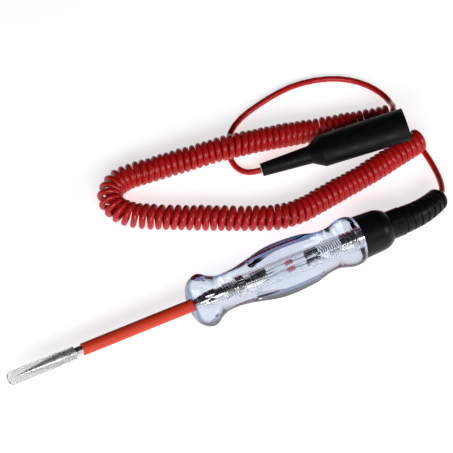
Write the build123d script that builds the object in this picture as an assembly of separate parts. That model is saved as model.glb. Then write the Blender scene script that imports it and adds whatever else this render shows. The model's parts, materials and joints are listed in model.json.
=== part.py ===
"""Circuit test light: probe, clear handle with a cartridge lamp, screw-on end cap and a curly lead
that ends in a booted spring clip.

Frame: +X runs along the tool from the capped point to the lead, +Z is up, and the floor is z = 0.
The origin is under the middle of the rigid tool. All sizes are in millimetres.
"""
from build123d import *
from math import atan2, cos, degrees, radians, sin, tan
import os

# ---- driving dimensions: the rigid tool, as stations along X and radii about its axis ----
TOOL_HALF_LENGTH = 112.5
AXIS_Z = 14.42             # the handle lies on one of the ridges between its facets
FIT_GAP = 0.05             # radial clearance between pieces that slide, turn or seat in each other

CAP_R = 3.75
CAP_STEP = 0.2             # the cap's rear half is thinner by this
CAP_BORE_R = 2.75
CAP_LENGTH = 38.8
CAP_OPEN_X = -TOOL_HALF_LENGTH + CAP_LENGTH
CAP_END_WALL = 2.4

NEEDLE_POINT_X = -106.6
NEEDLE_R = 2.6
NEEDLE_CONE_END_X = -83.2
NEEDLE_HEAD_END_X = -68.0
STEM_R = 1.3
STEM_END_X = 28.0

SLEEVE_R = 3.4
SLEEVE_X = (-69.6, -2.0)

HANDLE_X = (-5.6, 94.3)
BULGE_R = 14.65
FLANGE_ROUND_R = 8.1
NECK = (15.6, 9.9)
BULGE_X = (49.0, 57.0)
WAIST = (77.4, 11.45)
RIM = (88.9, 13.8)
REAR_FACE_R = 12.15
BORE_R = 3.9
FACET_COUNT = 8
FACET_ROLL = 12.3          # degrees from straight up towards -Y, where one row of facets faces
FACET_CROWN = [(21.0, 10.3), (30.0, 11.7), (40.0, 13.05), (53.0, 13.5), (66.0, 12.6), (80.0, 11.75)]
FLANGE_FACET_APOTHEM = 13.55

FERRULE_X = (-1.4, 20.55)
FERRULE_CONE_END_X = 3.2
FERRULE_LAND_X = (3.8, 11.0)
FERRULE_LAND_R = 2.5
FERRULE_THREAD_R = 2.9
THREAD_PITCH = 2.0
THREAD_DEPTH = 0.55
NUT_X = (20.6, 25.5)
NUT_GROOVES = 18

LAMP_X = (30.9, 68.9)
LAMP_R = 3.0
LAMP_CAP_LENGTH = 7.4
LAMP_GLASS_R = 2.75
LAMP_GLASS_WALL = 0.4
LAMP_CAP_WALL = 0.2
BEAD_X = (49.8, 54.0)
FILAMENT_X = (44.1, 47.9)

SPRING_X = (68.95, 83.5)
SPRING_R = 2.55
SPRING_WIRE_R = 0.36
SPRING_TURNS = 9

BUSH_X = (84.5, 99.6)
BUSH_THREAD_R = 3.8
BUSH_HUB_R = 9.4
PIN_R = 1.9
PIN_HEAD_X = (83.55, 84.4)
PIN_END_X = 104.5

COLLAR_X = (94.35, TOOL_HALF_LENGTH)
COLLAR_FRONT_R = 12.0
COLLAR_REAR_R = 11.5
COLLAR_SHOULDER_X = 105.4
COLLAR_CAVITY_END_X = 108.6
COLLAR_HOLE_R = 8.05

# ---- driving dimensions: strain relief and lead ----
BOOT_FLANGE_X = (99.75, 104.0)
BOOT_FLANGE_R = 9.3
BOOT_NECK_R = 7.9
BOOT_RIB_START_X = 121.2
BOOT_BEND_X = 124.5        # the boot is straight to here and then curves with the lead
BOOT_BEND_R = 40.0
BOOT_BEND_ANGLE = 36.8
BOOT_SAG = 28.0            # degrees that the plane of the bend dips below level
BOOT_CORE_R = 5.6
BOOT_RIB_R = (7.6, 6.3)
BOOT_RIB_COUNT = 7
BOOT_GROOVE_DEPTH = 0.7
BOOT_GROOVE_SHARE = 0.24    # part of each rib's pitch that is groove
BOOT_KEY = (7.2, 3.2, 1.2)  # length, width and height of the raised key beside the end cap
BOOT_KEY_ROLL = 34.8        # degrees from straight up towards -Y, where the key faces

WIRE_R = 1.7
COIL_R = 6.6
FLOOR_WIRE_Z = WIRE_R + 0.02
COIL_Z = COIL_R + 0.02
CROSSING_Z = 11.8          # the coil's axis where it rides over its own lead

# Lead from the strain relief to the coil. The first point is the end of the boot.
HANDLE_TAIL = [
    (153.7, 10.6, 8.9),
    (158.9, 21.8, 4.3),
    (161.6, 34.6, FLOOR_WIRE_Z),
    (161.9, 47.2, FLOOR_WIRE_Z),
]

# Axis of the curly stretch: out along the tool, a tight turn, and back over the lead.
COIL_ROUTE = [
    (161.9, 50.8, COIL_Z),
    (130.0, 43.4, COIL_Z),
    (99.0, 38.9, COIL_Z),
    (70.0, 34.2, COIL_Z),
    (43.5, 47.4, COIL_Z),
    (17.0, 61.4, COIL_Z),
    (-8.6, 75.4, COIL_Z),
    (-13.0, 90.4, COIL_Z),
    (-2.2, 100.8, COIL_Z),
    (22.0, 98.2, COIL_Z),
    (44.0, 94.0, 9.4),
    (57.0, 91.2, CROSSING_Z),
    (78.0, 87.6, CROSSING_Z),
    (103.0, 86.0, COIL_Z),
    (128.0, 79.4, COIL_Z),
    (157.5, 72.8, COIL_Z),
]

# Lead from the far end of the coil, round and under the coil, to the neck of the clip's boot.
CLIP_TAIL = [
    (158.0, 75.2, FLOOR_WIRE_Z),
    (162.4, 80.8, FLOOR_WIRE_Z),
    (162.4, 92.6, FLOOR_WIRE_Z),
    (156.4, 105.8, FLOOR_WIRE_Z),
    (143.0, 117.4, FLOOR_WIRE_Z),
    (120.6, 123.0, FLOOR_WIRE_Z),
    (98.0, 119.4, FLOOR_WIRE_Z),
    (77.2, 112.8, FLOOR_WIRE_Z),
    (66.2, 101.4, FLOOR_WIRE_Z),
    (62.4, 90.0, FLOOR_WIRE_Z),
    (62.8, 80.4, 2.3),
    (67.4, 74.0, 3.9),
]

# ---- driving dimensions: clip, in its own frame: u along the boot, v across the jaws, w up ----
CLIP_NECK = (73.4, 72.3, 5.4)
CLIP_MOUTH = (154.6, 54.1, 20.9)
CLIP_BOOT_WALL = 1.2
CLIP_NECK_LENGTH = 6.0
CLIP_BOOT_SECTIONS = [      # u, half width across the jaws, half height
    (0.0, 3.8, 3.6),
    (28.0, 5.3, 4.8),
    (35.0, 9.9, 7.2),
    (84.3, 10.3, 7.6),
]
JAW_PIVOT_U = 52.0
JAW_TIP_U = 78.0
JAW_TAIL_U = 36.0
JAW_TAIL_V = 5.2
JAW_BACK_V = 4.0
JAW_SHEET = 0.7
JAW_HALF_WIDTH = 3.2
TOOTH_PITCH = 2.0
TOOTH_DEPTH = 0.8
PIVOT_R = 1.1
SCREW_R = 0.95
SCREW_FROM_TAIL_END = 4.5


# ---- helpers ----
def turned(edges):
    """Solid of revolution about X from the closed edges of a half section in (x, radius)."""
    return revolve(Plane.XZ * make_face(edges), Axis.X)


def lathe(outline):
    """Solid of revolution about the tool axis from a closed run of (x, radius) corners."""
    return Pos(0, 0, AXIS_Z) * turned(Polyline(*outline, close=True))


def ring(x_range, outer, inner):
    """Plain ring or tube about the tool axis."""
    x0, x1 = x_range
    return lathe([(x0, inner), (x0, outer), (x1, outer), (x1, inner)])


def rod(x_range, radius):
    """Plain rod on the tool axis."""
    x0, x1 = x_range
    return lathe([(x0, 0), (x0, radius), (x1, radius), (x1, 0)])


def ridges(x_range, crest, depth, pitch):
    """Corners of a ridged outline: one trapezoid ridge for each pitch of a thread."""
    x0, x1 = x_range
    count = int((x1 - x0) / pitch)
    corners = []
    for i in range(count):
        x = x0 + i * pitch
        corners += [(x, crest - depth), (x + 0.35 * pitch, crest)]
        corners += [(x + 0.6 * pitch, crest), (x + 0.95 * pitch, crest - depth)]
    return corners + [(x1, crest - depth)]


def corner_radii(points):
    """Arc radius for each inner corner of a route, as large as its two runs allow."""
    radii = []
    for before, corner, after in zip(points, points[1:], points[2:]):
        run_in = Vector(*corner) - Vector(*before)
        run_out = Vector(*after) - Vector(*corner)
        turn = radians(run_in.get_angle(run_out))
        radii.append(0.45 * min(run_in.length, run_out.length) / tan(turn / 2))
    return radii


def tube(points, radius, name):
    """Round tube along a route of straight runs and tangent arcs."""
    radii = corner_radii(points)
    path = FilletPolyline(*points, radius=radii)
    start = Plane(origin=path @ 0, z_dir=path % 0)
    solid = sweep(start * Circle(radius), path=path)
    swept = Circle(radius).area * path.length
    print(name, "arc radii", [round(r, 1) for r in radii])
    print(name, "length", round(path.length, 1), "volume / swept", round(solid.volume / swept, 4))
    return solid


# ---- probe ----
def make_probe_needle():
    return lathe([
        (NEEDLE_POINT_X, 0),
        (NEEDLE_POINT_X + 0.3, 0.22),
        (NEEDLE_CONE_END_X, NEEDLE_R),
        (NEEDLE_HEAD_END_X, NEEDLE_R),
        (NEEDLE_HEAD_END_X, STEM_R),
        (STEM_END_X, STEM_R),
        (STEM_END_X, 0),
    ])


def make_tip_cap():
    """Clear push-on cap with a round closed end and a thicker front half."""
    x0 = -TOOL_HALF_LENGTH
    step_x = NEEDLE_CONE_END_X
    front_r = CAP_R
    rear_r = CAP_R - CAP_STEP
    shell = turned([
        Line((x0, 0), (x0, 0.6)),
        TangentArc((x0, 0.6), (x0 + front_r - 0.6, front_r), tangent=(0, 1)),
        Line((x0 + front_r - 0.6, front_r), (step_x, front_r)),
        Line((step_x, front_r), (step_x + 0.4, rear_r)),
        Line((step_x + 0.4, rear_r), (CAP_OPEN_X - 0.3, rear_r)),
        Line((CAP_OPEN_X - 0.3, rear_r), (CAP_OPEN_X, rear_r - 0.3)),
        Line((CAP_OPEN_X, rear_r - 0.3), (CAP_OPEN_X, 0)),
        Line((CAP_OPEN_X, 0), (x0, 0)),
    ])
    hollow_x = x0 + CAP_END_WALL
    hollow = lathe([
        (hollow_x, 0),
        (hollow_x, 0.8),
        (hollow_x + 2.0, CAP_BORE_R - 0.3),
        (hollow_x + 6.0, CAP_BORE_R),
        (CAP_OPEN_X + 1, CAP_BORE_R),
        (CAP_OPEN_X + 1, 0),
    ])
    return Pos(0, 0, AXIS_Z) * shell - hollow


def make_probe_sleeve():
    """Insulating sleeve, slightly flared where it tucks into the handle."""
    x0, x1 = SLEEVE_X
    return lathe([
        (x0, STEM_R + FIT_GAP),
        (x0, SLEEVE_R - 0.35),
        (x0 + 0.35, SLEEVE_R),
        (x1 - 5.0, SLEEVE_R + 0.05),
        (x1 - 1.0, SLEEVE_R + 0.05),
        (x1, SLEEVE_R - 0.7),
        (x1, STEM_R + FIT_GAP),
    ]) - rod((x0 - 1, NEEDLE_HEAD_END_X + FIT_GAP), NEEDLE_R + FIT_GAP)


def make_probe_ferrule():
    """Turned nose, ring land and threaded shank that hold the probe in the handle."""
    x0, x1 = FERRULE_X
    land0, land1 = FERRULE_LAND_X
    groove_r = FERRULE_LAND_R - 0.3
    thread_x = (land1 + 0.5, x1)
    return lathe([
        (x0, STEM_R + FIT_GAP),
        (x0, STEM_R + 0.25),
        (FERRULE_CONE_END_X, FERRULE_LAND_R),
        (FERRULE_CONE_END_X, groove_r),
        (land0, groove_r),
        (land0, FERRULE_LAND_R),
        (land1, FERRULE_LAND_R),
        (land1, groove_r),
        (thread_x[0] - 0.05, groove_r),
        *ridges(thread_x, FERRULE_THREAD_R, THREAD_DEPTH, THREAD_PITCH),
        (x1, STEM_R + FIT_GAP),
    ])


def make_probe_nut():
    """Knurled nut that draws the ferrule into the handle's web."""
    x0, x1 = NUT_X
    outer = BORE_R - FIT_GAP
    body = lathe([
        (x0, STEM_R + FIT_GAP),
        (x0, outer - 0.3),
        (x0 + 0.3, outer),
        (x1 - 0.3, outer),
        (x1, outer - 0.3),
        (x1, STEM_R + FIT_GAP),
    ])
    groove = Pos((x0 + x1) / 2, 0, outer + 0.12) * Rot(45, 0, 0) * Box(x1 - x0 + 1, 0.42, 0.42)
    for i in range(NUT_GROOVES):
        body -= Pos(0, 0, AXIS_Z) * Rot(360 / NUT_GROOVES * i, 0, 0) * groove
    return body


def make_front_contact():
    """Contact post that stands on the needle's end and cups the lamp's front cap."""
    x0 = NUT_X[1] + FIT_GAP
    x1 = LAMP_X[0] - FIT_GAP
    post_r = 2.3
    cup_r = 2.9
    return lathe([
        (x0, STEM_R + FIT_GAP),
        (x0, post_r),
        (x1 - 1.6, post_r),
        (x1 - 1.2, cup_r),
        (x1, cup_r),
        (x1, 0),
        (STEM_END_X + FIT_GAP, 0),
        (STEM_END_X + FIT_GAP, STEM_R + FIT_GAP),
    ])


# ---- handle ----
def handle_outline():
    """Outer edge of the handle from its front face to its rear face."""
    x0, x1 = HANDLE_X
    flange_top = (x0 + FLANGE_ROUND_R, BULGE_R)
    level = (1, 0)
    return [
        TangentArc((x0, BULGE_R - FLANGE_ROUND_R), flange_top, tangent=(0, 1)),
        Spline(flange_top, NECK, tangents=[level, level], tangent_scalars=[0.6, 1.5]),
        Spline(NECK, (BULGE_X[0], BULGE_R), tangents=[level, level]),
        Line((BULGE_X[0], BULGE_R), (BULGE_X[1], BULGE_R)),
        Spline((BULGE_X[1], BULGE_R), WAIST, tangents=[level, level]),
        Spline(WAIST, RIM, tangents=[level, level]),
        Spline(RIM, (x1, REAR_FACE_R), tangents=[level, (1, -1)]),
    ]


def facet_cutter():
    """Block outside one facet of the grip: the facet follows the bulge along X and is flat across."""
    start, end = FACET_CROWN[0], FACET_CROWN[-1]
    over = BULGE_R + 3
    across = 2 * BULGE_R
    outside = Polyline(end, (end[0], over), (start[0], over), start)
    grip = Plane.XZ * make_face([Spline(*FACET_CROWN), outside])
    flange_length = NECK[0] - HANDLE_X[0]
    flange_x = (NECK[0] + HANDLE_X[0]) / 2
    flange = Pos(flange_x, 0, FLANGE_FACET_APOTHEM + over / 2) * Box(flange_length, across, over)
    return extrude(grip, across / 2, both=True) + flange


def make_handle():
    """Clear grip: a turned body with eight rows of facets, bored for the lamp and for the probe."""
    x0, x1 = HANDLE_X
    web_x = FERRULE_X[1]
    land_r = FERRULE_LAND_R + FIT_GAP
    shank_r = FERRULE_THREAD_R + FIT_GAP
    edges = handle_outline()
    bore = Polyline(
        (x1, REAR_FACE_R),
        (x1, BORE_R),
        (web_x, BORE_R),
        (web_x, shank_r),
        (FERRULE_LAND_X[1] + 0.4, shank_r),
        (FERRULE_LAND_X[1] + 0.4, land_r),
        (FERRULE_CONE_END_X, land_r),
        (FERRULE_X[0], STEM_R + 0.5),
        (SLEEVE_X[1] + FIT_GAP, SLEEVE_R + 0.1),
        (x0, SLEEVE_R + 0.1),
        (x0, BULGE_R - FLANGE_ROUND_R),
    )
    body = turned([*edges, bore])
    cutter = facet_cutter()
    for i in range(FACET_COUNT):
        body -= Rot(FACET_ROLL + 360 / FACET_COUNT * i, 0, 0) * cutter
    return Pos(0, 0, AXIS_Z) * body


# ---- lamp ----
def make_lamp_cap(outer_end_x, inner_end_x):
    """Pressed nickel cap on one end of the lamp's glass tube."""
    inward = 1 if inner_end_x > outer_end_x else -1
    bore_r = LAMP_R - LAMP_CAP_WALL
    return lathe([
        (outer_end_x, 0),
        (outer_end_x, LAMP_R - 0.5),
        (outer_end_x + 0.5 * inward, LAMP_R),
        (inner_end_x, LAMP_R),
        (inner_end_x, bore_r),
        (outer_end_x + 0.7 * inward, bore_r),
        (outer_end_x + 0.7 * inward, 0),
    ])


def make_lamp_glass():
    x0 = LAMP_X[0] + 0.9
    x1 = LAMP_X[1] - 0.9
    return ring((x0, x1), LAMP_GLASS_R, LAMP_GLASS_R - LAMP_GLASS_WALL)


def wire(points, radius):
    """Thin bent wire on the tool axis from (x, y, z) points, as a rod for each straight run."""
    solid = Pos(*points[0]) * Sphere(radius)
    for start, end in zip(points, points[1:]):
        run = Vector(*end) - Vector(*start)
        solid += Plane(origin=start, z_dir=run) * Pos(0, 0, run.length / 2) * Cylinder(radius, run.length)
        solid += Pos(*end) * Sphere(radius)
    return Pos(0, 0, AXIS_Z) * solid


def make_lamp_supports():
    """Two support wires, one from each cap, that carry the filament between them."""
    x0, x1 = FILAMENT_X
    front = wire([(LAMP_X[0] + 1.0, 0, 0.2), (x0 - 4.3, 0, 0.2), (x0 - 0.3, 0, 1.0)], 0.22)
    rear = wire([(LAMP_X[1] - 1.0, 0, -0.2), (x1 + 9.9, 0, -0.2), (x1 + 0.3, 0, 1.0)], 0.22)
    return front + rear


def make_lamp_filament():
    x0, x1 = FILAMENT_X
    return wire([(x0, 0, 1.0), (x0 + 1.0, 0, 1.5), (x1 - 1.0, 0, 1.5), (x1, 0, 1.0)], 0.14)


def make_lamp_bead():
    """Red glass bead that locks the rear support wire."""
    x0, x1 = BEAD_X
    bead = Pos((x0 + x1) / 2, 0, AXIS_Z + 0.25) * Rot(0, 90, 0) * Cylinder(1.5, x1 - x0)
    bead = fillet(bead.edges().filter_by(GeomType.CIRCLE), 0.6)
    return bead - make_lamp_supports()


def make_lamp_spring():
    """Compression spring between the lamp and the contact pin."""
    x0, x1 = SPRING_X
    height = x1 - x0 - 2 * SPRING_WIRE_R
    path = Helix(height / SPRING_TURNS, height, SPRING_R)
    section = Plane(origin=path @ 0, z_dir=path % 0) * Circle(SPRING_WIRE_R)
    coil = sweep(section, path=path, is_frenet=True)
    return Pos(x0 + SPRING_WIRE_R, 0, AXIS_Z) * Rot(0, 90, 0) * coil


# ---- end cap ----
def make_threaded_bush():
    """Threaded plug of the end cap, with a wide hub that is pressed into the cap."""
    x0, x1 = BUSH_X
    hub_x = COLLAR_X[0] + FIT_GAP
    bore_r = PIN_R + FIT_GAP
    return lathe([
        (x0, bore_r),
        *ridges((x0, HANDLE_X[1] - FIT_GAP), BUSH_THREAD_R, THREAD_DEPTH, THREAD_PITCH),
        (hub_x, BUSH_THREAD_R - THREAD_DEPTH),
        (hub_x, BUSH_HUB_R),
        (x1, BUSH_HUB_R),
        (x1, bore_r),
    ])


def make_contact_pin():
    """Pin that carries the lead's current to the spring and swivels in the bush."""
    head0, head1 = PIN_HEAD_X
    return lathe([
        (head0, 0),
        (head0, 2.8),
        (head1, 3.0),
        (head1, PIN_R),
        (PIN_END_X, PIN_R),
        (PIN_END_X, 0),
    ])


def make_cable_crimp():
    """Crimped tube that joins the lead's strands to the contact pin."""
    x0 = PIN_END_X - 3.0
    x1 = PIN_END_X + 5.0
    body = ring((x0, x1), PIN_R + 0.6, PIN_R)
    for side in (-1, 1):
        body -= Pos(PIN_END_X - 1.0, 0, AXIS_Z + side * (PIN_R + 0.75)) * Box(1.6, 3.0, 0.5)
    return body


def make_end_collar():
    """Black screw-on end cap: a slightly tapered barrel with a rounded shoulder."""
    x0, x1 = COLLAR_X
    cavity_r = BUSH_HUB_R
    edges = [
        Line((x0, cavity_r), (x0, COLLAR_FRONT_R - 0.3)),
        Line((x0, COLLAR_FRONT_R - 0.3), (x0 + 0.3, COLLAR_FRONT_R)),
        Line((x0 + 0.3, COLLAR_FRONT_R), (COLLAR_SHOULDER_X, COLLAR_REAR_R)),
        TangentArc((COLLAR_SHOULDER_X, COLLAR_REAR_R), (x1, COLLAR_HOLE_R + 0.9), tangent=(1, 0)),
        Polyline(
            (x1, COLLAR_HOLE_R + 0.9),
            (x1, COLLAR_HOLE_R),
            (COLLAR_CAVITY_END_X, COLLAR_HOLE_R),
            (COLLAR_CAVITY_END_X, cavity_r),
            (x0, cavity_r),
        ),
    ]
    return Pos(0, 0, AXIS_Z) * turned(edges)


# ---- strain relief ----
def boot_path(start_x, end_angle=BOOT_BEND_ANGLE):
    """Centre line of the boot from a station on the tool axis to an angle round its bend."""
    sideways = Vector(0, cos(radians(BOOT_SAG)), -sin(radians(BOOT_SAG)))
    bend_start = Vector(BOOT_BEND_X, 0, AXIS_Z)

    def on_bend(angle):
        a = radians(angle)
        return bend_start + Vector(1, 0, 0) * BOOT_BEND_R * sin(a) + sideways * BOOT_BEND_R * (1 - cos(a))

    straight = Line((start_x, 0, AXIS_Z), bend_start)
    bend = ThreePointArc(bend_start, on_bend(end_angle / 2), on_bend(end_angle))
    return Wire([straight, bend])


def swept_rod(path, radius):
    start = Plane(origin=path @ 0, z_dir=path % 0)
    return sweep(start * Circle(radius), path=path)


def make_strain_relief():
    """Ribbed rubber boot: a flange held inside the end cap, a smooth neck and a row of ribs."""
    flange0, flange1 = BOOT_FLANGE_X
    boot = swept_rod(boot_path(flange1), BOOT_CORE_R)
    boot += ring((flange1 - 0.5, BOOT_RIB_START_X), BOOT_NECK_R, BOOT_CORE_R - 0.5)
    boot += rod((flange0, flange1), BOOT_FLANGE_R - FIT_GAP)
    ribs_path = boot_path(BOOT_RIB_START_X)
    pitch = ribs_path.length / BOOT_RIB_COUNT
    groove = pitch * BOOT_GROOVE_SHARE
    for i in range(BOOT_RIB_COUNT):
        is_last = i == BOOT_RIB_COUNT - 1
        middle = (i + 0.5) / BOOT_RIB_COUNT
        radius = BOOT_RIB_R[0] + (BOOT_RIB_R[1] - BOOT_RIB_R[0]) * middle
        rib = Cylinder(radius, pitch - groove)
        rims = rib.edges().filter_by(GeomType.CIRCLE).sort_by(Axis.Z)
        rib = fillet(rims[-1], 1.6) if is_last else fillet(rims, 0.4)
        along = middle + groove / 2 / ribs_path.length
        boot += Plane(origin=ribs_path @ along, z_dir=ribs_path % along) * rib
        waist = Cylinder(radius - BOOT_GROOVE_DEPTH, 2 * groove)
        along = middle - (pitch - groove) / 2 / ribs_path.length
        boot += Plane(origin=ribs_path @ along, z_dir=ribs_path % along) * waist
    key_length, key_width, key_height = BOOT_KEY
    key_x = COLLAR_X[1] + key_length / 2 + 0.6
    key = Pos(key_x, 0, BOOT_NECK_R) * Box(key_length, key_width, key_height)
    boot += Pos(0, 0, AXIS_Z) * Rot(BOOT_KEY_ROLL, 0, 0) * key
    boot -= swept_rod(boot_path(PIN_END_X + 4.0), WIRE_R)
    boot -= Plane(origin=ribs_path @ 1, z_dir=ribs_path % 1) * Cylinder(WIRE_R + FIT_GAP, 2.0)
    boot -= rod((flange0 - 1, PIN_END_X + 5.0 + FIT_GAP), PIN_R + 0.65)
    return boot


def make_cord_lead_in():
    """Lead inside the boot, from the crimp to the boot's end."""
    bared = rod((PIN_END_X + FIT_GAP, PIN_END_X + 5.1), PIN_R - 0.5)
    return swept_rod(boot_path(PIN_END_X + 5.1), WIRE_R) + bared


# ---- clip ----
def clip_frame():
    """Plane of the clip's own frame: x is u along the boot, y is v across the jaws, z is w up."""
    along = Vector(*CLIP_MOUTH) - Vector(*CLIP_NECK)
    across = Vector(0, 0, 1).cross(along)
    return Plane(origin=CLIP_NECK, x_dir=along, z_dir=along.cross(across))


def place_clip(solid):
    return clip_frame() * solid


def section_loft(sections):
    """Solid through ellipses at stations u, each with a half width and a half height."""
    faces = [Plane(origin=(u, 0, 0), x_dir=(0, 1, 0), z_dir=(1, 0, 0)) * Ellipse(half_v, half_w)
             for u, half_v, half_w in sections]
    return loft(faces, ruled=True)


def make_clip_boot():
    """Soft sleeve over the whole clip, open at its mouth, with a narrow neck round the lead."""
    wall = CLIP_BOOT_WALL
    cord_hole = WIRE_R + FIT_GAP
    inner = [(u, half_v - wall, half_w - wall) for u, half_v, half_w in CLIP_BOOT_SECTIONS[1:]]
    mouth_u, mouth_v, mouth_w = inner.pop()
    hollow = [
        (-1.0, cord_hole, cord_hole),
        (CLIP_NECK_LENGTH, cord_hole, cord_hole),
        *inner,
        (mouth_u + 1.0, mouth_v, mouth_w),
    ]
    return place_clip(section_loft(CLIP_BOOT_SECTIONS) - section_loft(hollow))


def jaw_side(side, half_width):
    """One jaw as a folded channel: back, two cheeks with teeth, pivot ears and a flat tail."""
    teeth = []
    count = int((JAW_TIP_U - JAW_PIVOT_U - 6) / TOOTH_PITCH)
    for i in range(count):
        u = JAW_TIP_U - i * TOOTH_PITCH
        teeth += [(u, 0.05), (u - TOOTH_PITCH, 0.05 + TOOTH_DEPTH)]
    root_u = JAW_TIP_U - count * TOOTH_PITCH
    cheek = Polyline(
        *teeth,
        (root_u - 2, 1.0),
        (JAW_PIVOT_U - 2.4, -1.6),
        (JAW_PIVOT_U - 2.4, JAW_BACK_V),
        (JAW_TIP_U - 6, 3.0),
        (JAW_TIP_U, 1.7),
        close=True,
    )
    space = Polyline(
        (JAW_PIVOT_U - 4, -3),
        (JAW_PIVOT_U - 4, JAW_BACK_V - JAW_SHEET),
        (JAW_TIP_U - 6.2, 2.3),
        (JAW_TIP_U - 0.8, 1.1),
        (JAW_TIP_U - 0.8, -3),
        close=True,
    )
    tail = Polyline(
        (JAW_PIVOT_U - 2, JAW_BACK_V - JAW_SHEET),
        (JAW_PIVOT_U - 2, JAW_BACK_V),
        (JAW_TAIL_U, JAW_TAIL_V + JAW_SHEET),
        (JAW_TAIL_U, JAW_TAIL_V),
        close=True,
    )
    jaw = extrude(make_face(cheek), half_width, both=True)
    jaw -= extrude(make_face(space), half_width - JAW_SHEET, both=True)
    jaw += extrude(make_face(tail), half_width, both=True)
    jaw -= Pos(JAW_PIVOT_U, 0, 0) * Cylinder(PIVOT_R + FIT_GAP, 4 * half_width)
    return jaw if side > 0 else mirror(jaw, Plane.XZ)


def make_clip_jaw_fixed():
    jaw = jaw_side(-1, JAW_HALF_WIDTH)
    jaw -= Pos(JAW_TAIL_U + SCREW_FROM_TAIL_END, -JAW_TAIL_V, 0) * Rot(90, 0, 0) * Cylinder(SCREW_R + 0.2, 6)
    return place_clip(jaw)


def make_clip_jaw_moving():
    """The moving jaw's ears sit inside the fixed jaw's ears."""
    return place_clip(jaw_side(1, JAW_HALF_WIDTH - JAW_SHEET - 2 * FIT_GAP))


def make_clip_pivot():
    length = 2 * JAW_HALF_WIDTH + 1.2
    head = 0.5
    pin = Cylinder(PIVOT_R, length)
    for side in (-1, 1):
        pin += Pos(0, 0, side * (length / 2 - head / 2 + 0.05)) * Cylinder(PIVOT_R + 0.7, head)
    return place_clip(Pos(JAW_PIVOT_U, 0, 0) * pin)


def make_clip_spring():
    """Torsion spring on the pivot, with one leg against each tail."""
    wire_r = 0.4
    coil_r = PIVOT_R + FIT_GAP + wire_r + 0.02
    turns = 3
    spring = None
    for i in range(turns):
        w = (i - (turns - 1) / 2) * wire_r * 1.9
        loop = Pos(0, 0, w) * Torus(coil_r, wire_r)
        spring = loop if spring is None else spring + loop
    leg_length = 9.0
    for side in (-1, 1):
        leg = Pos(-leg_length / 2, 0, 0) * Rot(0, 90, 0) * Cylinder(wire_r, leg_length)
        spring += Pos(0, side * coil_r, side * wire_r * 1.9) * Rot(0, 0, -side * 10) * leg
    return place_clip(Pos(JAW_PIVOT_U, 0, 0) * spring)


def make_clip_screw():
    """Small screw that clamps the lead's strands to the fixed jaw's tail."""
    screw = Pos(0, 0, 1.0) * Cylinder(2.0, 1.2) + Pos(0, 0, -0.8) * Cylinder(SCREW_R, 2.6)
    screw -= Pos(0, 0, 1.5) * Box(5, 0.5, 0.7)
    tail_rise = JAW_TAIL_V - JAW_BACK_V + JAW_SHEET
    tail_slope = degrees(atan2(tail_rise, JAW_PIVOT_U - 2 - JAW_TAIL_U))
    seat_u = JAW_TAIL_U + SCREW_FROM_TAIL_END
    seat = Pos(seat_u, -JAW_TAIL_V + 0.75, 0) * Rot(0, 0, tail_slope) * Rot(-90, 0, 0)
    return place_clip(seat * Pos(0, 0, 0.6) * screw)


def make_cord_lead_out():
    """Lead inside the clip's boot: insulated through the neck, then bared strands to the screw."""
    insulated_end = 27.0
    insulated = Pos(insulated_end / 2, 0, 0) * Rot(0, 90, 0) * Cylinder(WIRE_R, insulated_end)
    strands_start = Vector(insulated_end - 0.5, 0, 0)
    strands_end = Vector(JAW_TAIL_U + 1.9, -JAW_TAIL_V + 1.4, 0)
    run = strands_end - strands_start
    strands = Plane(origin=strands_start, z_dir=run) * Pos(0, 0, run.length / 2) * Cylinder(0.6, run.length)
    return place_clip(insulated + strands)


# ---- the assembly ----
def build():
    boot_end = boot_path(BOOT_BEND_X - 1) @ 1
    front_cap = make_lamp_cap(LAMP_X[0], LAMP_X[0] + LAMP_CAP_LENGTH)
    rear_cap = make_lamp_cap(LAMP_X[1], LAMP_X[1] - LAMP_CAP_LENGTH)
    return {
        "probe_needle": make_probe_needle(),
        "tip_cap": make_tip_cap(),
        "probe_sleeve": make_probe_sleeve(),
        "probe_ferrule": make_probe_ferrule(),
        "probe_nut": make_probe_nut(),
        "front_contact": make_front_contact(),
        "handle": make_handle(),
        "lamp_front_cap": front_cap,
        "lamp_rear_cap": rear_cap,
        "lamp_glass": make_lamp_glass(),
        "lamp_supports": make_lamp_supports(),
        "lamp_filament": make_lamp_filament(),
        "lamp_bead": make_lamp_bead(),
        "lamp_spring": make_lamp_spring(),
        "threaded_bush": make_threaded_bush(),
        "contact_pin": make_contact_pin(),
        "cable_crimp": make_cable_crimp(),
        "end_collar": make_end_collar(),
        "strain_relief": make_strain_relief(),
        "cord_lead_in": make_cord_lead_in(),
        "cord_handle_tail": tube([tuple(boot_end), *HANDLE_TAIL], WIRE_R, "cord_handle_tail"),
        "cord_coil": tube(COIL_ROUTE, COIL_R, "cord_coil"),
        "cord_clip_tail": tube([*CLIP_TAIL, CLIP_NECK], WIRE_R, "cord_clip_tail"),
        "cord_lead_out": make_cord_lead_out(),
        "clip_boot": make_clip_boot(),
        "clip_jaw_fixed": make_clip_jaw_fixed(),
        "clip_jaw_moving": make_clip_jaw_moving(),
        "clip_pivot": make_clip_pivot(),
        "clip_spring": make_clip_spring(),
        "clip_screw": make_clip_screw(),
    }


os.makedirs("parts", exist_ok=True)
for node, solid in build().items():
    export_step(solid, f"parts/{node}.step")
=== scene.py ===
"""Circuit test light: materials, fine pieces, the curly lead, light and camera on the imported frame.

Lengths are in metres, and the points of the lead's route in millimetres. Places and sizes come from
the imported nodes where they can; the lead's route is repeated from the part's source.
"""
import json
from bisect import bisect_right
from math import cos, pi, radians, sin, tau

import bpy
from mathutils import Matrix, Vector


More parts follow.
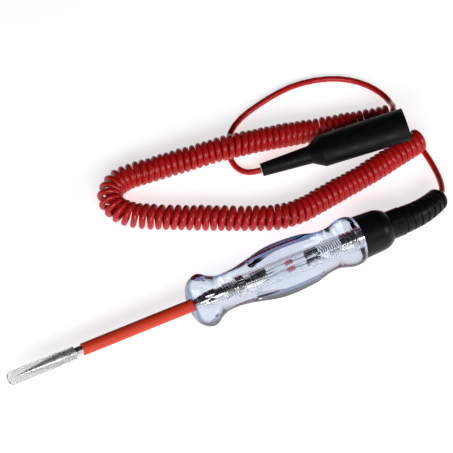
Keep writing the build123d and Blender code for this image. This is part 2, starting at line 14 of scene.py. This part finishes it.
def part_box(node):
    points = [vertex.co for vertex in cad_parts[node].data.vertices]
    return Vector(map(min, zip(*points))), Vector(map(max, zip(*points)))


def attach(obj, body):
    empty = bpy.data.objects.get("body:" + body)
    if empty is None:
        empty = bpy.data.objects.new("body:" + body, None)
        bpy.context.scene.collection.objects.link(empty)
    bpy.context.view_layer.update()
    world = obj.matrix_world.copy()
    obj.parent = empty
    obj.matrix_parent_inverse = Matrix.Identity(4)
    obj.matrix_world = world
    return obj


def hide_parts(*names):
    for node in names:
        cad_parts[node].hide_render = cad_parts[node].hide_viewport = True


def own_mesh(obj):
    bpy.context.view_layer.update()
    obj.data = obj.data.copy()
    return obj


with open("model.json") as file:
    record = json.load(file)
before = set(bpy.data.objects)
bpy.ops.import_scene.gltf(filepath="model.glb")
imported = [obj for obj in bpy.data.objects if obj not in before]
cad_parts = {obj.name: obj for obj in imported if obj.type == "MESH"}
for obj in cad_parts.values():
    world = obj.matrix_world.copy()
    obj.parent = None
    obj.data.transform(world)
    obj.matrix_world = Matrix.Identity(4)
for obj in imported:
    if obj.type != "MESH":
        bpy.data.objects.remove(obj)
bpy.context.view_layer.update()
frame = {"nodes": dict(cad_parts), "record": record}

MM = 0.001
NODES = frame["nodes"]

TOOL_AXIS_Z = (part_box("probe_sleeve")[0].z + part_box("probe_sleeve")[1].z) / 2
BORE_R = 4.1 * MM  # just outside the handle's bore
CAP_BORE_R = 2.9 * MM  # just outside the tip cap's bore

# ---- the lead ----
WIRE_R = 1.7 * MM
COIL_R = 6.6 * MM
TURN_POINTS = 14
CURVE_CUT = 0.1 * MM  # a quadratic NURBS helix runs this far inside its control points
UNEVEN = 0.08 * MM  # how far single turns stand out or in
LEAN = 0.35 * MM  # how far single turns lean along the coil

BOOT_END = (148.5, 7.0, 10.7)
HANDLE_TAIL = [
    BOOT_END,
    (153.7, 10.6, 8.9),
    (158.9, 21.8, 4.3),
    (161.6, 34.6, 1.72),
    (162.0, 43.4, 1.72),
]
COIL_ROUTE = [
    (161.9, 50.8, 6.62),
    (130.0, 43.4, 6.62),
    (99.0, 38.9, 6.62),
    (70.0, 34.2, 6.62),
    (43.5, 47.4, 6.62),
    (17.0, 61.4, 6.62),
    (-8.6, 75.4, 6.62),
    (-13.0, 90.4, 6.62),
    (-2.2, 100.8, 6.62),
    (22.0, 98.2, 6.62),
    (44.0, 94.0, 9.4),
    (57.0, 91.2, 11.8),
    (78.0, 87.6, 11.8),
    (103.0, 86.0, 6.62),
    (128.0, 79.4, 6.62),
    (157.5, 72.8, 6.62),
]
CLIP_TAIL = [
    (159.8, 78.2, 8.6),
    (162.0, 83.6, 2.8),
    (162.3, 92.6, 1.72),
    (156.4, 105.8, 1.72),
    (143.0, 117.4, 1.72),
    (120.6, 123.0, 1.72),
    (98.0, 119.4, 1.72),
    (77.2, 112.8, 1.72),
    (66.2, 101.4, 1.72),
    (62.4, 90.0, 1.72),
    (62.8, 80.4, 2.3),
    (67.4, 74.0, 3.9),
    (73.4, 72.3, 5.4),
]

# Stations of (share of the coil's length, value). The coil is tight at both ends, and wider and
# more open in the bend.
COIL_PITCH = [
    (0, 3.43 * MM),
    (0.16, 3.45 * MM),
    (0.30, 4.3 * MM),
    (0.52, 4.3 * MM),
    (0.60, 3.65 * MM),
]
COIL_SWELL = [
    (0, 0.3 * MM),
    (0.12, 0.2 * MM),
    (0.28, 0.65 * MM),
    (0.60, 0.65 * MM),
    (0.85, 0.25 * MM),
]


def nurbs(name, points, bevel=0.0, resolution=6):
    """Curve object of one open quadratic NURBS spline with these control points, in metres.

    Each point carries the tube's radius, so that the curve's box is the tube's.
    """
    data = bpy.data.curves.new(name, "CURVE")
    data.dimensions = "3D"
    spline = data.splines.new("NURBS")
    spline.points.add(len(points) - 1)
    for point, place in zip(spline.points, points):
        point.co = (*place, 1)
        point.radius = bevel
    spline.order_u = 3
    spline.use_endpoint_u = True
    data.resolution_u = resolution
    data.bevel_depth = 1.0 if bevel > 0 else 0.0
    data.bevel_resolution = 4
    data.use_fill_caps = bevel > 0
    curve = bpy.data.objects.new(name, data)
    bpy.context.scene.collection.objects.link(curve)
    return curve


def in_metres(points_mm):
    return [Vector(point) * MM for point in points_mm]


def line_of(points_mm):
    """The points along the smooth line of a route, read from its NURBS spline."""
    guide = nurbs("route_guide", in_metres(points_mm), resolution=24)
    mesh = bpy.data.meshes.new_from_object(guide)
    line = [v.co.copy() for v in mesh.vertices]
    bpy.data.meshes.remove(mesh)
    bpy.data.curves.remove(guide.data)
    return line


class Along:
    """Places and directions at a distance along a line of points."""

    def __init__(self, line):
        self.line = line
        self.marks = [0.0]
        for a, b in zip(line, line[1:]):
            self.marks.append(self.marks[-1] + (b - a).length)
        self.length = self.marks[-1]

    def at(self, distance):
        distance = min(max(distance, 0.0), self.length)
        i = bisect_right(self.marks, distance, 0, len(self.marks) - 1) - 1
        span = self.marks[i + 1] - self.marks[i]
        return self.line[i].lerp(self.line[i + 1], (distance - self.marks[i]) / span)

    def heading(self, distance, reach=2.0 * MM):
        return (self.at(distance + reach) - self.at(distance - reach)).normalized()


def between(stations, share):
    """Value at a share of the coil's length, from (share, value) stations."""
    for (share0, value0), (share1, value1) in zip(stations, stations[1:]):
        if share <= share1:
            return value0 + (value1 - value0) * (share - share0) / (share1 - share0)
    return stations[-1][1]


def curly_lead():
    """Control points of the whole lead: tail, left-handed helix round the coil's line, tail."""
    route = Along(line_of(COIL_ROUTE))
    control_r = COIL_R - WIRE_R + CURVE_CUT
    helix = []
    distance, angle = 0.0, 0.0
    up = Vector((0, 0, 1))
    while distance < route.length:
        heading = route.heading(distance)
        side = up.cross(heading).normalized()
        lift = heading.cross(side)
        share = distance / route.length
        turn = angle / tau
        uneven = UNEVEN * (sin(1.9 * turn) + sin(0.71 * turn + 1))
        swell = between(COIL_SWELL, share) + uneven
        lean = LEAN * sin(0.83 * turn) * cos(angle)
        centre = route.at(distance) + heading * lean + up * max(swell, 0)
        helix.append(centre - (lift * cos(angle) + side * sin(angle)) * (control_r + swell))
        angle += tau / TURN_POINTS
        distance += between(COIL_PITCH, share) / TURN_POINTS
    # The last turn ends at its top, where the tail to the clip leaves it.
    extra = int(round(((angle - pi) % tau) / (tau / TURN_POINTS)))
    helix = helix[:len(helix) - extra]
    return in_metres(HANDLE_TAIL) + helix + in_metres(CLIP_TAIL)


lead = nurbs("curly_lead", curly_lead(), bevel=WIRE_R, resolution=3)
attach(lead, "lead")
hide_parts("cord_handle_tail", "cord_coil", "cord_clip_tail")


# ---- materials ----
class Paint:
    """A node material on one Principled shader, with helpers for procedural detail."""

    def __init__(self, name, colour, roughness, **inputs):
        self.material = bpy.data.materials.new(name)
        self.material.use_nodes = True
        self.nodes = self.material.node_tree.nodes
        self.links = self.material.node_tree.links
        self.shader = self.nodes["Principled BSDF"]
        self.output = self.nodes["Material Output"]
        self.place = self.nodes.new("ShaderNodeTexCoord").outputs["Object"]
        self.relief = None
        self.set("Base Color", (*colour, 1))
        self.set("Roughness", roughness)
        for key, value in inputs.items():
            self.set(key.replace("_", " "), value)

    def set(self, key, value):
        self.shader.inputs[key].default_value = value

    def maths(self, operation, first, second):
        """Value of a maths node on two sockets, or on a socket and a number."""
        node = self.nodes.new("ShaderNodeMath")
        node.operation = operation
        for socket, source in zip(node.inputs, (first, second)):
            if isinstance(source, (int, float)):
                socket.default_value = source
            else:
                self.links.new(source, socket)
        return node.outputs["Value"]

    def mapped(self, location=(0, 0, 0), scale=(1, 1, 1)):
        """The object's coordinates, scaled on each axis and then moved."""
        mapping = self.nodes.new("ShaderNodeMapping")
        mapping.inputs["Location"].default_value = location
        mapping.inputs["Scale"].default_value = scale
        self.links.new(self.place, mapping.inputs["Vector"])
        return mapping.outputs["Vector"]

    def noise(self, scale, detail=3.0, stretch=(1, 1, 1)):
        texture = self.nodes.new("ShaderNodeTexNoise")
        texture.inputs["Scale"].default_value = scale
        texture.inputs["Detail"].default_value = detail
        self.links.new(self.mapped(scale=stretch), texture.inputs["Vector"])
        return texture.outputs["Fac"]

    def speckle(self, scale):
        texture = self.nodes.new("ShaderNodeTexVoronoi")
        texture.inputs["Scale"].default_value = scale
        self.links.new(self.place, texture.inputs["Vector"])
        return texture.outputs["Distance"]

    def vary(self, key, source, low, high):
        """Drives a plain input between two values by a texture."""
        spread = self.nodes.new("ShaderNodeMapRange")
        spread.inputs["From Min"].default_value = 0.3
        spread.inputs["From Max"].default_value = 0.7
        spread.inputs["To Min"].default_value = low
        spread.inputs["To Max"].default_value = high
        self.links.new(source, spread.inputs["Value"])
        self.links.new(spread.outputs["Result"], self.shader.inputs[key])

    def shade(self, source, first, last, start=0.3, end=0.7, blend="LINEAR"):
        """Drives the colour between two shades by a value."""
        ramp = self.nodes.new("ShaderNodeValToRGB")
        ramp.color_ramp.interpolation = blend
        stops = ramp.color_ramp.elements
        for stop, position, colour in zip(stops, (start, end), (first, last)):
            stop.position = position
            stop.color = (*colour, 1)
        self.links.new(source, ramp.inputs["Fac"])
        self.links.new(ramp.outputs["Color"], self.shader.inputs["Base Color"])

    def painted_edge_shade(self, middle, edge, start, end):
        """Paints shade into clear plastic's colour where its surface turns away from the line of
        sight: a dark navy that stands in for the dark surroundings seen through the flanks.
        """
        weight = self.nodes.new("ShaderNodeLayerWeight")
        weight.inputs["Blend"].default_value = 0.5
        self.shade(weight.outputs["Facing"], middle, edge, start, end, "EASE")

    def bump(self, source, depth, strength=1.0):
        """Adds relief of this depth in metres."""
        bump = self.nodes.new("ShaderNodeBump")
        bump.inputs["Distance"].default_value = depth
        bump.inputs["Strength"].default_value = strength
        self.links.new(source, bump.inputs["Height"])
        if self.relief:
            self.links.new(self.relief, bump.inputs["Normal"])
        self.relief = bump.outputs["Normal"]
        self.links.new(self.relief, self.shader.inputs["Normal"])

    def near_axis(self, radius, value):
        """A value within a radius of the tool's axis, and 0 further out."""
        length = self.nodes.new("ShaderNodeVectorMath")
        length.operation = "LENGTH"
        self.links.new(self.mapped((0, 0, -TOOL_AXIS_Z), (0, 1, 1)), length.inputs[0])
        inside = self.maths("LESS_THAN", length.outputs["Value"], radius)
        return self.maths("MULTIPLY", inside, value)

    def absorbs(self, colour, density):
        """Takes colour out of the light on its way through the piece."""
        volume = self.nodes.new("ShaderNodeVolumeAbsorption")
        volume.inputs["Color"].default_value = (*colour, 1)
        volume.inputs["Density"].default_value = density
        self.links.new(volume.outputs["Volume"], self.output.inputs["Volume"])

    def lets_light_through(self, tint, always=0.0):
        """Lets lamps shine through clear plastic or glass, so that its shadow is light and tinted.

        A share of every other ray goes straight through too, where one is given.
        """
        path = self.nodes.new("ShaderNodeLightPath").outputs
        from_lamps = self.maths("MAXIMUM", path["Is Shadow Ray"], path["Is Diffuse Ray"])
        clear = self.nodes.new("ShaderNodeBsdfTransparent")
        clear.inputs["Color"].default_value = (*tint, 1)
        mix = self.nodes.new("ShaderNodeMixShader")
        self.links.new(self.maths("MAXIMUM", from_lamps, always), mix.inputs["Fac"])
        self.links.new(self.shader.outputs["BSDF"], mix.inputs[1])
        self.links.new(clear.outputs["BSDF"], mix.inputs[2])
        self.links.new(mix.outputs["Shader"], self.output.inputs["Surface"])


# Stretches of the textures: rings round the tool's axis, and waves or streaks along it.
RINGS = (1, 0.1, 0.1)
FINE_RINGS = (1, 0.02, 0.02)
WAVES = (0.35, 1, 1)
SHORT_STREAKS = (0.2, 1, 1)
STREAKS = (0.1, 1, 1)
LONG_STREAKS = (0.08, 1, 1)


def turned_metal(name, colour, roughness):
    """Turned metal: fine rings round the tool's axis, and a little wear in the polish."""
    paint = Paint(name, colour, roughness, Metallic=1.0)
    wear = paint.noise(900, stretch=RINGS)
    paint.vary("Roughness", wear, roughness * 0.7, roughness * 1.5)
    paint.bump(paint.noise(4000, 2, FINE_RINGS), 0.002 * MM, 0.2)
    return paint.material


def spring_wire():
    """Bright drawn wire."""
    paint = Paint("spring_steel", (0.80, 0.80, 0.78), 0.16, Metallic=1.0)
    paint.vary("Roughness", paint.noise(1500), 0.10, 0.24)
    paint.shade(paint.noise(700), (0.70, 0.70, 0.69), (0.86, 0.86, 0.84))
    return paint.material


def clear_glass():
    """Clear drawn glass with faint waves in its surface."""
    paint = Paint("lamp_glass", (0.99, 1.0, 1.0), 0.01, Transmission_Weight=1.0, IOR=1.5)
    paint.vary("Roughness", paint.noise(260), 0.004, 0.016)
    paint.bump(paint.noise(90, 1, WAVES), 0.004 * MM, 0.5)
    paint.lets_light_through((0.97, 0.97, 0.97))
    return paint.material


def clear_vinyl():
    """The tip cap's clear, slightly milky vinyl.

    Its bore's wall hides little, so that the needle shows.
    """
    paint = Paint("clear_cap", (0.86, 0.86, 0.84), 0.07, Transmission_Weight=0.88, IOR=1.42)
    haze = paint.noise(400, 3, SHORT_STREAKS)
    paint.shade(haze, (0.82, 0.82, 0.80), (0.90, 0.90, 0.88))
    paint.vary("Roughness", paint.noise(260), 0.05, 0.12)
    paint.bump(paint.noise(90, 1, WAVES), 0.003 * MM, 0.5)
    paint.lets_light_through((0.90, 0.90, 0.89), paint.near_axis(CAP_BORE_R, 0.9))
    return paint.material


def clear_grip():
    """The handle's faintly blue plastic. Its bore's wall hides little, so that the lamp shows."""
    middle = (0.93, 0.95, 0.98)
    paint = Paint("clear_plastic", middle, 0.015, Transmission_Weight=1.0, IOR=1.49)
    paint.vary("Roughness", paint.noise(260), 0.006, 0.024)
    paint.bump(paint.noise(90, 1, WAVES), 0.02 * MM, 0.5)
    # Painted shade: the colour turns dark navy where the surface faces away from the view, in place
    # of the dark surroundings seen through the flanks.
    paint.painted_edge_shade(middle, (0.04, 0.08, 0.20), 0.34, 0.62)
    paint.lets_light_through((0.94, 0.95, 0.98), paint.near_axis(BORE_R, 0.65))
    paint.absorbs((0.62, 0.70, 0.82), 26)
    return paint.material


def red_jacket():
    """Glossy red cord jacket, with faint extrusion mottling."""
    paint = Paint("cord_red", (0.52, 0.010, 0.009), 0.26, Specular_IOR_Level=0.4)
    paint.shade(paint.noise(350), (0.46, 0.007, 0.007), (0.58, 0.013, 0.012))
    paint.vary("Roughness", paint.noise(600), 0.20, 0.34)
    paint.bump(paint.noise(1800, 4), 0.01 * MM, 0.5)
    return paint.material


def red_sleeve():
    """Satin orange-red insulation, drawn along the probe."""
    paint = Paint("sleeve_red", (0.67, 0.048, 0.017), 0.38, Specular_IOR_Level=0.35)
    drawn = paint.noise(500, 3, LONG_STREAKS)
    paint.shade(drawn, (0.58, 0.038, 0.013), (0.76, 0.058, 0.022))
    paint.vary("Roughness", paint.noise(400, 3, SHORT_STREAKS), 0.30, 0.46)
    paint.bump(paint.noise(1500, 3, STREAKS), 0.01 * MM, 0.4)
    return paint.material


def black_moulding(name, shade, roughness, grain_scale, grain_depth):
    """Black plastic, vinyl or rubber with moulded grain and uneven sheen."""
    light = tuple(1.6 * c for c in shade)
    paint = Paint(name, shade, roughness, Specular_IOR_Level=0.2)
    paint.shade(paint.noise(240), shade, light)
    paint.vary("Roughness", paint.noise(180), roughness * 0.8, roughness * 1.25)
    paint.bump(paint.noise(grain_scale, 5), grain_depth, 0.5)
    paint.bump(paint.speckle(grain_scale), grain_depth, 0.25)
    return paint.material


def bead_glass():
    """The red glass bead that holds the lamp's supports."""
    paint = Paint("bead_red", (0.90, 0.36, 0.39), 0.12, Transmission_Weight=0.7, IOR=1.5)
    paint.shade(paint.noise(900), (0.84, 0.28, 0.31), (0.95, 0.45, 0.48))
    return paint.material


JET = (0.003, 0.003, 0.0035)
DEEP_JET = (0.0025, 0.0025, 0.003)
MATERIALS = {
    "steel": turned_metal("steel", (0.66, 0.65, 0.63), 0.26),
    "nickel": turned_metal("nickel", (0.84, 0.82, 0.76), 0.17),
    "brass": turned_metal("brass", (0.80, 0.58, 0.28), 0.25),
    "filament": turned_metal("filament", (0.10, 0.10, 0.10), 0.35),
    "spring_steel": spring_wire(),
    "clear_plastic": clear_grip(),
    "clear_cap": clear_vinyl(),
    "lamp_glass": clear_glass(),
    "sleeve_red": red_sleeve(),
    "bead_red": bead_glass(),
    "collar_black": black_moulding("collar_black", JET, 0.36, 1500, 0.01 * MM),
    "boot_black": black_moulding("boot_black", JET, 0.36, 1100, 0.02 * MM),
    "vinyl_black": black_moulding("vinyl_black", DEEP_JET, 0.50, 900, 0.02 * MM),
    "cord_red": red_jacket(),
}
SLOT_OF = {part["node"]: part["material_slot"] for part in frame["record"]["subparts"]}


def finish_with(piece, slot):
    """Gives a piece the material of one of the record's slots."""
    if len(piece.material_slots):
        for place in piece.material_slots:
            place.material = MATERIALS[slot]
    else:
        piece.data.materials.append(MATERIALS[slot])


for node, piece in NODES.items():
    finish_with(piece, SLOT_OF[node])
finish_with(lead, "cord_red")


# ---- the lamp's spring ----
def lamp_spring():
    """The spring behind the lamp, which in the real tester shortens towards the contact pin as the
    lamp is pressed; here a copy of the part's spring, with a mesh of its own, on the tool's body.
    """
    piece = bpy.data.objects.new("seated_spring", NODES["lamp_spring"].data.copy())
    bpy.context.scene.collection.objects.link(piece)
    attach(piece, "tool")
    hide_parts("lamp_spring")
    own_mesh(piece)


lamp_spring()


# ---- stage ----
STAGE_MIDDLE = (0.04, 0.05, 0)


def add_floor():
    """A white floor that glows a little, so that it renders as the plain white background."""
    half = 3.0
    corners = [(-half, -half, 0), (half, -half, 0), (half, half, 0), (-half, half, 0)]
    data = bpy.data.meshes.new("floor")
    data.from_pydata(corners, [], [(0, 1, 2, 3)])
    floor = bpy.data.objects.new("floor", data)
    floor.location.z = -0.1 * MM
    bpy.context.scene.collection.objects.link(floor)
    glow = {"Emission_Color": (1, 1, 1, 1), "Emission_Strength": 0.69}
    data.materials.append(Paint("floor_white", (0.9, 0.9, 0.9), 0.9, **glow).material)


def add_area_light(name, place, size, power):
    """A white softbox that faces the middle of the stage."""
    data = bpy.data.lights.new(name, "AREA")
    data.shape = "RECTANGLE"
    data.size, data.size_y = size
    data.energy = power
    light = bpy.data.objects.new(name, data)
    light.location = place
    aim = Vector(STAGE_MIDDLE) - Vector(place)
    light.rotation_euler = aim.to_track_quat("-Z", "Y").to_euler()
    bpy.context.scene.collection.objects.link(light)


def add_camera():
    """Camera above the near left, looking down at the middle of the tool and its lead."""
    azimuth, elevation = radians(-26.74), radians(51.92)
    target = Vector((39.9, 49.25, 0)) * MM
    distance, view_width = 1.5, 248.6 * MM
    back = Vector((sin(azimuth) * cos(elevation), -cos(azimuth) * cos(elevation), sin(elevation)))
    right = Vector((cos(azimuth), sin(azimuth), 0))
    up = back.cross(right)
    data = bpy.data.cameras.new("camera")
    data.sensor_width = 36.0
    data.lens = data.sensor_width * distance / view_width
    camera = bpy.data.objects.new("camera", data)
    turn = Matrix((right, up, back)).transposed().to_4x4()
    camera.matrix_world = Matrix.Translation(target + back * distance) @ turn
    bpy.context.scene.collection.objects.link(camera)
    bpy.context.scene.camera = camera


def add_world():
    """A dim studio: near black overhead and behind, pale low on the near side."""
    world = bpy.data.worlds.new("studio")
    world.use_nodes = True
    nodes, links = world.node_tree.nodes, world.node_tree.links
    direction = nodes.new("ShaderNodeTexCoord").outputs["Generated"]
    towards = nodes.new("ShaderNodeVectorMath")
    towards.operation = "DOT_PRODUCT"
    towards.inputs[1].default_value = Vector((-0.39, -0.77, -0.5)).normalized()
    links.new(direction, towards.inputs[0])
    ramp = nodes.new("ShaderNodeValToRGB")
    dark, pale = ramp.color_ramp.elements
    dark.position, dark.color = 0.15, (0.010, 0.011, 0.016, 1)
    pale.position, pale.color = 0.6, (0.5, 0.52, 0.56, 1)
    links.new(towards.outputs["Value"], ramp.inputs["Fac"])
    links.new(ramp.outputs["Color"], nodes["Background"].inputs["Color"])
    nodes["Background"].inputs["Strength"].default_value = 1.0
    bpy.context.scene.world = world


add_floor()
add_world()
add_camera()
add_area_light("key", place=(-0.40, -0.95, 0.75), size=(1.0, 0.35), power=10)
add_area_light("side", place=(0.9, -0.7, 0.5), size=(0.4, 0.4), power=3)
bpy.context.scene.view_settings.view_transform = "Standard"
